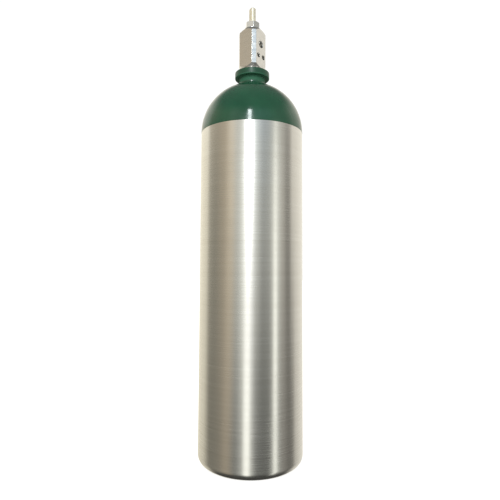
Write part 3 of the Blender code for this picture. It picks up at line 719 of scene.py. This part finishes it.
def green_paint():
    """Dark green gloss paint with slight orange peel and rubbed patches, duller in the neck, and with a
    paler green painted into the groove under the lip as painted light against the shade there.
    """
    material, nodes, shader = new_material("green_paint", GREEN, 0.20, 0.0)
    shader.inputs["Specular IOR Level"].default_value = 0.38
    shader.inputs["Coat Roughness"].default_value = 0.025
    neck_fade = (DOME_TOP, DOME_TOP + 2.0 * MM)
    lip_fade = (LIP_BOTTOM + 0.4 * MM, LIP_BOTTOM + 1.4 * MM)
    height = nodes.height()
    neck = nodes.remap(height, *neck_fade, 0, 1)
    groove = nodes.math("MULTIPLY", neck, nodes.remap(height, *lip_fade, 1, 0))
    nodes.link(nodes.remap(neck, 0, 1, 0.30, 0.0), shader.inputs["Coat Weight"])
    tone = nodes.noise(nodes.place((30, 30, 30)), detail=5)
    rubbed = nodes.noise(nodes.place((55, 55, 90)), detail=8, roughness=0.7)
    colour = nodes.mix(nodes.remap(tone, 0.35, 0.65, 0, 1), GREEN_DARK, GREEN_LIGHT)
    colour = nodes.mix(nodes.remap(rubbed, 0.60, 0.78, 0, 0.30), colour, GREEN_RUBBED)
    # Painted light: the groove under the lip gets a paler green, against the shade that falls under the lip.
    colour = nodes.mix(groove, colour, GREEN_PAINTED_LIGHT_IN_GROOVE)
    nodes.link(colour, shader.inputs["Base Color"])
    rough = nodes.math("ADD", nodes.remap(rubbed, 0.4, 0.8, 0.13, 0.32), nodes.math("MULTIPLY", neck, 0.22))
    rough = nodes.math("ADD", rough, nodes.math("MULTIPLY", groove, 0.30))
    nodes.link(rough, shader.inputs["Roughness"])
    peel = nodes.noise(nodes.place((420, 420, 420)), detail=2)
    nodes.link(nodes.bump(peel, 0.06, 0.15 * MM), shader.inputs["Normal"])
    return material


def satin_chrome(name, tint, lines, roughness=0.20):
    """Plated or pale brass with faint machining lines across it and darker worn patches."""
    material, nodes, shader = new_material(name, tint, roughness, 1.0)
    fine = nodes.noise(nodes.place(lines), detail=4, roughness=0.65)
    worn = nodes.noise(nodes.place((130, 130, 130)), detail=6, roughness=0.6)
    colour = nodes.mix(nodes.remap(fine, 0.3, 0.7, 0, 1), scaled(tint, 0.92), tint)
    colour = nodes.mix(nodes.remap(worn, 0.52, 0.75, 0, 0.25), colour, scaled(tint, 0.7))
    nodes.link(colour, shader.inputs["Base Color"])
    rough = nodes.remap(fine, 0.3, 0.7, 0.8 * roughness, 1.3 * roughness)
    rough = nodes.math("ADD", rough, nodes.remap(worn, 0.4, 0.75, 0, 0.12))
    nodes.link(rough, shader.inputs["Roughness"])
    nodes.link(nodes.bump(fine, 0.05, 0.01 * MM), shader.inputs["Normal"])
    return material


def machined_metal(name, colour, roughness):
    """Turned brass or copper with fine lines and a little tarnish."""
    material, nodes, shader = new_material(name, colour, roughness, 1.0)
    fine = nodes.noise(nodes.place((40, 40, 2600)), detail=4)
    tarnish = nodes.noise(nodes.place((300, 300, 300)), detail=6, roughness=0.65)
    tone = nodes.mix(nodes.remap(tarnish, 0.45, 0.75, 0, 0.6), colour, scaled(colour, 0.55))
    nodes.link(tone, shader.inputs["Base Color"])
    rough = nodes.remap(tarnish, 0.3, 0.75, roughness * 0.8, roughness * 1.5)
    nodes.link(rough, shader.inputs["Roughness"])
    nodes.link(nodes.bump(fine, 0.15, 0.03 * MM), shader.inputs["Normal"])
    return material


def moulded(name, colour, roughness, grain):
    """Rubber or nylon with a fine grain and uneven tone."""
    material, nodes, shader = new_material(name, colour, roughness, 0.0)
    fine = nodes.noise(nodes.place((grain, grain, grain)), detail=5)
    lighter = tuple(min(1, 1.35 * part + 0.01) for part in colour)
    tone = nodes.mix(nodes.remap(fine, 0.35, 0.7, 0, 1), colour, lighter)
    nodes.link(tone, shader.inputs["Base Color"])
    rough = nodes.remap(fine, 0.3, 0.7, roughness * 0.85, roughness * 1.2)
    nodes.link(rough, shader.inputs["Roughness"])
    nodes.link(nodes.bump(fine, 0.2, 0.04 * MM), shader.inputs["Normal"])
    return material


# ---------------------------------------------------------------- the vessel


def cavity_outline():
    """Up the vessel's inside, from the middle of its floor to the top of the neck."""
    radius = VESSEL_RADIUS - WALL
    floor = FOOT_HOLLOW + FLOOR_THICKNESS
    points = [(0, floor)] + arc((radius - CAVITY_CORNER, floor + CAVITY_CORNER), CAVITY_CORNER, -90, 0, 8)
    dome_end = math.acos((NECK_BORE + NECK_BORE_CHAMFER) / radius)
    steps = 13
    for i in range(steps + 1):
        angle = dome_end * i / steps
        points.append((radius * math.cos(angle), SHOULDER_HEIGHT + CAVITY_RISE * math.sin(angle)))
    bore_bottom = SHOULDER_HEIGHT + CAVITY_RISE * math.sin(dome_end) + NECK_BORE_CHAMFER
    points += [
        (NECK_BORE, bore_bottom),
        (NECK_BORE, NECK_TOP - SEAL_POCKET_DEPTH),
        (SEAL_POCKET_RADIUS, NECK_TOP - SEAL_POCKET_DEPTH),
        (SEAL_POCKET_RADIUS, NECK_TOP),
    ]
    return points


def neck_outline():
    """Down the lip and the groove, to where the groove's fillet touches the dome, and that angle."""
    centre = GROOVE_RADIUS + GROOVE_FILLET
    height = SHOULDER_HEIGHT + math.sqrt((VESSEL_RADIUS + GROOVE_FILLET) ** 2 - centre**2)
    touch = math.degrees(math.atan2(height - SHOULDER_HEIGHT, centre))
    points = arc((LIP_RADIUS - LIP_EDGE, NECK_TOP - LIP_EDGE), LIP_EDGE, 90, 0, 6)
    points += arc((LIP_RADIUS - LIP_EDGE, LIP_BOTTOM + LIP_EDGE), LIP_EDGE, 0, -90, 6)
    points += arc((GROOVE_RADIUS + GROOVE_ROOT, LIP_BOTTOM - GROOVE_ROOT), GROOVE_ROOT, 90, 180, 5)
    points += arc((centre, height), GROOVE_FILLET, 180, 180 + touch, 10)
    return points, touch


def foot_outline(bare_radius):
    """Round the foot's corner and its ring's inner edge, and over the hollow in the middle."""
    points = arc((bare_radius - FOOT_CORNER, FOOT_CORNER), FOOT_CORNER, 0, -90, 14)
    points += arc((FOOT_RING_INNER + FOOT_RING_EDGE, FOOT_RING_EDGE), FOOT_RING_EDGE, -90, -150, 4)
    steps = 11
    for i in range(1, steps + 1):
        share = 1 - i / steps
        rise = (FOOT_HOLLOW - FOOT_HOLLOW_RIM) * math.cos(share * math.pi / 2)
        points.append((FOOT_RING_INNER * share, FOOT_HOLLOW_RIM + rise))
    return points


def vessel_outline():
    """Once round the vessel's section, whose outside steps in by the paint's thickness below the paint."""
    bare = VESSEL_RADIUS - PAINT_THICKNESS
    neck, touch = neck_outline()
    shoulder = arc((0, SHOULDER_HEIGHT), VESSEL_RADIUS, touch, 0, 56)[1:]
    paint_edge = [
        (VESSEL_RADIUS, PAINT_LINE + PAINT_EDGE),
        (VESSEL_RADIUS - 0.3 * PAINT_EDGE, PAINT_LINE + 0.2 * PAINT_EDGE),
        (bare, PAINT_LINE),
        (bare, PAINT_LINE - 3 * PAINT_EDGE),
    ]
    return cavity_outline() + neck + shoulder + paint_edge + foot_outline(bare)


def is_painted(face):
    """Whether a face is outside and above the paint's lower edge; the neck's flat top stays bare."""
    radius = math.hypot(face.center.x, face.center.y)
    on_dome_or_neck = math.hypot(radius, face.center.z - SHOULDER_HEIGHT) > VESSEL_RADIUS - WALL / 2
    in_mouth = radius < SEAL_POCKET_RADIUS + 0.5 * MM
    flat_top = face.normal.z > 0.99
    return face.center.z > PAINT_LINE and on_dome_or_neck and not in_mouth and not flat_top


def make_vessel():
    vessel = turned("vessel", vessel_outline(), ROUND)
    smooth(vessel, 35)
    finish(vessel, spun_aluminium(), "vessel", "cylinder_shell")
    vessel.data.materials.append(green_paint())
    for face in vessel.data.polygons:
        if is_painted(face):
            face.material_index = 1


# ---------------------------------------------------------------- the valve


def post_section():
    """The post's closed outline: a rectangle with its corners cut off and all its edges broken."""
    x, y = POST_WIDTH / 2, POST_DEPTH / 2
    half = [(x, 0), (x, y - POST_CHAMFER), (x - POST_CHAMFER, y)]
    half += [(-point[0], point[1]) for point in reversed(half)]
    upper = softened(half, POST_EDGE)
    lower = [(point[0], -point[1]) for point in reversed(upper[1:-1])]
    return upper + lower


def post_blank():
    """The post's section, drawn out past both ends of its envelope."""
    low = NECK_TOP + POST_BOTTOM - OVERRUN
    high = NECK_TOP + BOSS_TOP + OVERRUN
    bm = bmesh.new()
    face = bm.faces.new([bm.verts.new((x, y, low)) for x, y in post_section()])
    grown = bmesh.ops.extrude_face_region(bm, geom=[face])
    top = [item for item in grown["geom"] if isinstance(item, bmesh.types.BMVert)]
    bmesh.ops.translate(bm, verts=top, vec=(0, 0, high - low))
    bmesh.ops.recalc_face_normals(bm, faces=bm.faces)
    return from_bmesh("valve_post", bm)


def post_envelope():
    """The cones and the boss that the post's ends are turned to."""
    outline = [
        (0, BOSS_TOP),
        (BOSS_RADIUS, BOSS_TOP),
        (BOSS_RADIUS, BOSS_TOP - BOSS_EDGE),
        (POST_CORNER_RADIUS, BOSS_TOP - POST_SHOULDER_DROP),
        (POST_CORNER_RADIUS, POST_BOTTOM + POST_CORNER_RADIUS - POST_FOOT_RADIUS),
        (POST_FOOT_RADIUS, POST_BOTTOM),
        (0, POST_BOTTOM),
    ]
    return turned_in_valve("envelope", outline, ROUND, POST_TURNED_EDGE)


def inlet_spigot():
    """The collar that presses on the neck's seal, and the plain core of the inlet's thread."""
    cone_bottom, cone_top = COLLAR_CONE
    outline = [
        (0, cone_top + OVERRUN),
        (COLLAR_TOP_RADIUS, cone_top + OVERRUN),
        (COLLAR_TOP_RADIUS, cone_top),
        (COLLAR_RADIUS, cone_bottom),
        (COLLAR_RADIUS, COLLAR_BOTTOM),
        (SHANK_RADIUS, COLLAR_BOTTOM),
        (SHANK_RADIUS, SHANK_BOTTOM),
        (INLET_RADIUS, SHANK_BOTTOM - SHANK_CHAMFER),
        (INLET_RADIUS, INLET_BOTTOM + INLET_CHAMFER),
        (INLET_RADIUS - INLET_CHAMFER, INLET_BOTTOM),
        (0, INLET_BOTTOM),
    ]
    return turned_in_valve("spigot", outline, round_by=SPIGOT_EDGE)


def main_bore():
    outline = [
        (0, BOSS_TOP + OVERRUN),
        (GLAND_BORE_RADIUS, BOSS_TOP + OVERRUN),
        (GLAND_BORE_RADIUS, GLAND_SEAT),
        (CHAMBER_RADIUS, GLAND_SEAT),
        (CHAMBER_RADIUS, SEAT_FLOOR),
        (INLET_PASSAGE_RADIUS, SEAT_FLOOR),
        (INLET_PASSAGE_RADIUS, FILTER_BORE_TOP),
        (FILTER_BORE_RADIUS, FILTER_BORE_TOP),
        (FILTER_BORE_RADIUS, INLET_BOTTOM - OVERRUN),
        (0, INLET_BOTTOM - OVERRUN),
    ]
    return turned_in_valve("bore", outline)


def face_hole(name, radius, depth, chamfer, tip):
    """The cutter of a hole in the post's front face, along Z, with a chamfered mouth and a conical end."""
    front = POST_DEPTH / 2
    outline = [
        (0, front + OVERRUN),
        (radius + chamfer, front + OVERRUN),
        (radius + chamfer, front),
        (radius, front - chamfer),
        (radius, front - depth),
        (0, front - depth - tip),
    ]
    return turned(name, outline)


def outlet_bores():
    """The outlet, and the passage to it from the chamber."""
    outlet = face_hole("outlet", OUTLET_RADIUS, OUTLET_DEPTH, OUTLET_CHAMFER, OUTLET_TIP)
    floor = POST_DEPTH / 2 - OUTLET_DEPTH
    passage = rod("passage", OUTLET_PASSAGE_RADIUS, CHAMBER_RADIUS - OVERRUN, floor + OVERRUN, SMALL)
    return [lay_along_y(outlet, 0, OUTLET_HEIGHT), lay_along_y(passage, 0, OUTLET_PASSAGE_HEIGHT)]


def pin_holes():
    holes = []
    for angle in PIN_ANGLES:
        hole = face_hole("pin_hole", PIN_HOLE_RADIUS, PIN_HOLE_DEPTH, PIN_HOLE_CHAMFER, PIN_HOLE_TIP)
        across = PIN_ARC_RADIUS * math.sin(angle)
        height = OUTLET_HEIGHT - PIN_ARC_RADIUS * math.cos(angle)
        holes.append(lay_along_y(hole, across, height))
    return holes


def yoke_dimple():
    back = -POST_DEPTH / 2
    outline = [
        (0, back + DIMPLE_DEPTH),
        (DIMPLE_TIP_RADIUS, back + DIMPLE_DEPTH),
        (DIMPLE_RADIUS, back),
        (DIMPLE_RADIUS, back - OVERRUN),
        (0, back - OVERRUN),
    ]
    return lay_along_y(turned("dimple", outline), 0, OUTLET_HEIGHT)


def relief_bore():
    """The relief plug's bore in the post's side, and its passage to the valve's axis."""
    side = POST_WIDTH / 2
    outline = [
        (0, side + OVERRUN),
        (RELIEF_BORE_RADIUS, side + OVERRUN),
        (RELIEF_BORE_RADIUS, RELIEF_BORE_FLOOR),
        (RELIEF_PASSAGE_RADIUS, RELIEF_BORE_FLOOR),
        (RELIEF_PASSAGE_RADIUS, 0),
        (0, 0),
    ]
    return lay_along_x(turned("relief", outline), RELIEF_HEIGHT)


def make_post(chrome):
    post = carve(post_blank(), "INTERSECT", post_envelope())
    carve(post, "UNION", inlet_spigot())
    carve(post, "DIFFERENCE", main_bore(), *outlet_bores(), *pin_holes(), yoke_dimple(), relief_bore())
    smooth(post)
    finish(post, chrome, "vessel", "valve_body")


def make_gland(chrome):
    low = NECK_TOP + BOSS_TOP + GAP
    nut = hexagon("gland_hexagon", GLAND_HEX, low, GLAND_TOP, GLAND_TURN, GLAND_HEX_EDGE)
    flat = GLAND_HEX / 2
    inside, outside, drop = GLAND_CHAMFER
    foot_inside, foot_rise = GLAND_FOOT_CHAMFER
    chamfer = [
        (0, GLAND_TOP),
        (flat - inside, GLAND_TOP),
        (flat + outside, GLAND_TOP - drop),
        (flat + outside, low + foot_rise),
        (flat - foot_inside, low),
        (0, low),
    ]
    carve(nut, "INTERSECT", turned("chamfer", chamfer, round_by=HEXAGON_EDGE))
    shank_bottom = low - GLAND_SHANK_LENGTH
    carve(nut, "UNION", rod("shank", GLAND_SHANK_RADIUS, shank_bottom, low + OVERRUN))
    stem_bore = STEM_RADIUS + STEM_GAP
    hollow = [
        (0, GLAND_TOP + OVERRUN),
        (stem_bore + GLAND_MOUTH, GLAND_TOP + OVERRUN),
        (stem_bore + GLAND_MOUTH, GLAND_TOP),
        (stem_bore, GLAND_TOP - GLAND_MOUTH),
        (stem_bore, NECK_TOP + PACKING_TOP),
        (PACKING_RADIUS, NECK_TOP + PACKING_TOP),
        (PACKING_RADIUS, shank_bottom - OVERRUN),
        (0, shank_bottom - OVERRUN),
    ]
    carve(nut, "DIFFERENCE", turned("hollow", hollow))
    smooth(nut)
    finish(nut, chrome, "vessel", "gland_nut")


def make_stem(metal):
    top = STEM_TOP - NECK_TOP
    outline = [
        (0, top),
        (STEM_RADIUS - STEM_EDGE, top),
        (STEM_RADIUS, top - STEM_EDGE),
        (STEM_RADIUS, STEM_COLLAR_TOP),
        (STEM_COLLAR_RADIUS, STEM_COLLAR_TOP),
        (STEM_COLLAR_RADIUS, STEM_COLLAR_BOTTOM),
        (STEM_NECK_RADIUS, STEM_COLLAR_BOTTOM),
        (STEM_NECK_RADIUS, STEM_BOTTOM),
        (0, STEM_BOTTOM),
    ]
    stem = turned_in_valve("spindle", outline, round_by=STEM_SOFTENING)
    carve(stem, "UNION", block("tang", TANG_SIZE, (0, 0, NECK_TOP + TANG_MIDDLE)))
    low, high = NECK_TOP + STEM_FLATS_BOTTOM, STEM_TOP + OVERRUN
    cutter = (2 * OVERRUN, 3 * STEM_RADIUS, high - low)
    flats = []
    for side in (-1, 1):
        reach = side * (STEM_FLATS / 2 + OVERRUN)
        flats.append(block("flat", cutter, (reach, 0, (low + high) / 2)))
    carve(stem, "DIFFERENCE", *flats)
    smooth(stem)
    finish(stem, metal, "stem", "valve_stem")


def make_relief_plug(metal):
    """The plug is made along Z, with its face outwards, and then laid along X in the post's side."""
    side = POST_WIDTH / 2
    low, high = side + GAP, side + GAP + RELIEF_HEAD
    plug = hexagon("relief_hexagon", RELIEF_HEX, low, high, RELIEF_TURN, RELIEF_HEX_EDGE)
    flat = RELIEF_HEX / 2
    inside, outside, drop = RELIEF_CHAMFER
    chamfer = [
        (0, high),
        (flat - inside, high),
        (flat + outside, high - drop),
        (flat + outside, low - OVERRUN),
        (0, low - OVERRUN),
    ]
    carve(plug, "INTERSECT", turned("chamfer", chamfer, round_by=HEXAGON_EDGE))
    carve(plug, "UNION", rod("shank", RELIEF_SHANK_RADIUS, RELIEF_SHANK_END, low + OVERRUN))
    cutters = [rod("vent", VENT_BORE_RADIUS, RELIEF_SHANK_END - OVERRUN, high - RELIEF_FACE, SMALL)]
    across = Matrix.Translation((0, 0, side + VENT_STAND_OFF)) @ Matrix.Rotation(math.radians(90), 4, "Y")
    for turn in VENT_TURNS:
        hole = rod("hole", VENT_RADIUS, -RELIEF_HEX, RELIEF_HEX, TINY)
        hole.data.transform(Matrix.Rotation(math.radians(turn), 4, "Z") @ across)
        cutters.append(hole)
    carve(plug, "DIFFERENCE", *cutters)
    lay_along_x(plug, RELIEF_HEIGHT)
    smooth(plug)
    finish(plug, metal, "vessel", "relief_plug")


def paint_inner_pieces(brass):
    """Materials of the CAD pieces that stay as they are, inside the valve."""
    copper = machined_metal("soft_copper", COPPER, 0.30)
    rubber = moulded("black_rubber", RUBBER, 0.60, 900)
    nylon = moulded("white_nylon", NYLON, 0.45, 700)
    finishes = {
        brass: ("debris_tube", "valve_plunger"),
        copper: ("gland_gasket", "burst_disc"),
        rubber: ("neck_o_ring", "stem_o_ring"),
        nylon: ("seat_disc", "thrust_washer", "lower_backup_ring", "upper_backup_ring", "disc_gasket"),
    }
    for material, names in finishes.items():
        for name in names:
            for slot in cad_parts[name].material_slots:
                slot.material = material


make_camera()
make_world()
make_floor()
make_window()
bpy.context.scene.view_settings.view_transform = "Standard"
make_vessel()
make_post(satin_chrome("satin_chrome", CHROME, (60, 60, 700)))
make_gland(satin_chrome("gland_chrome", BRIGHT_CHROME, (60, 60, 1500)))
make_stem(satin_chrome("pale_brass", PALE_BRASS, (90, 90, 1800), 0.55))
turned_brass = machined_metal("turned_brass", BRASS, 0.30)
make_relief_plug(turned_brass)
paint_inner_pieces(turned_brass)
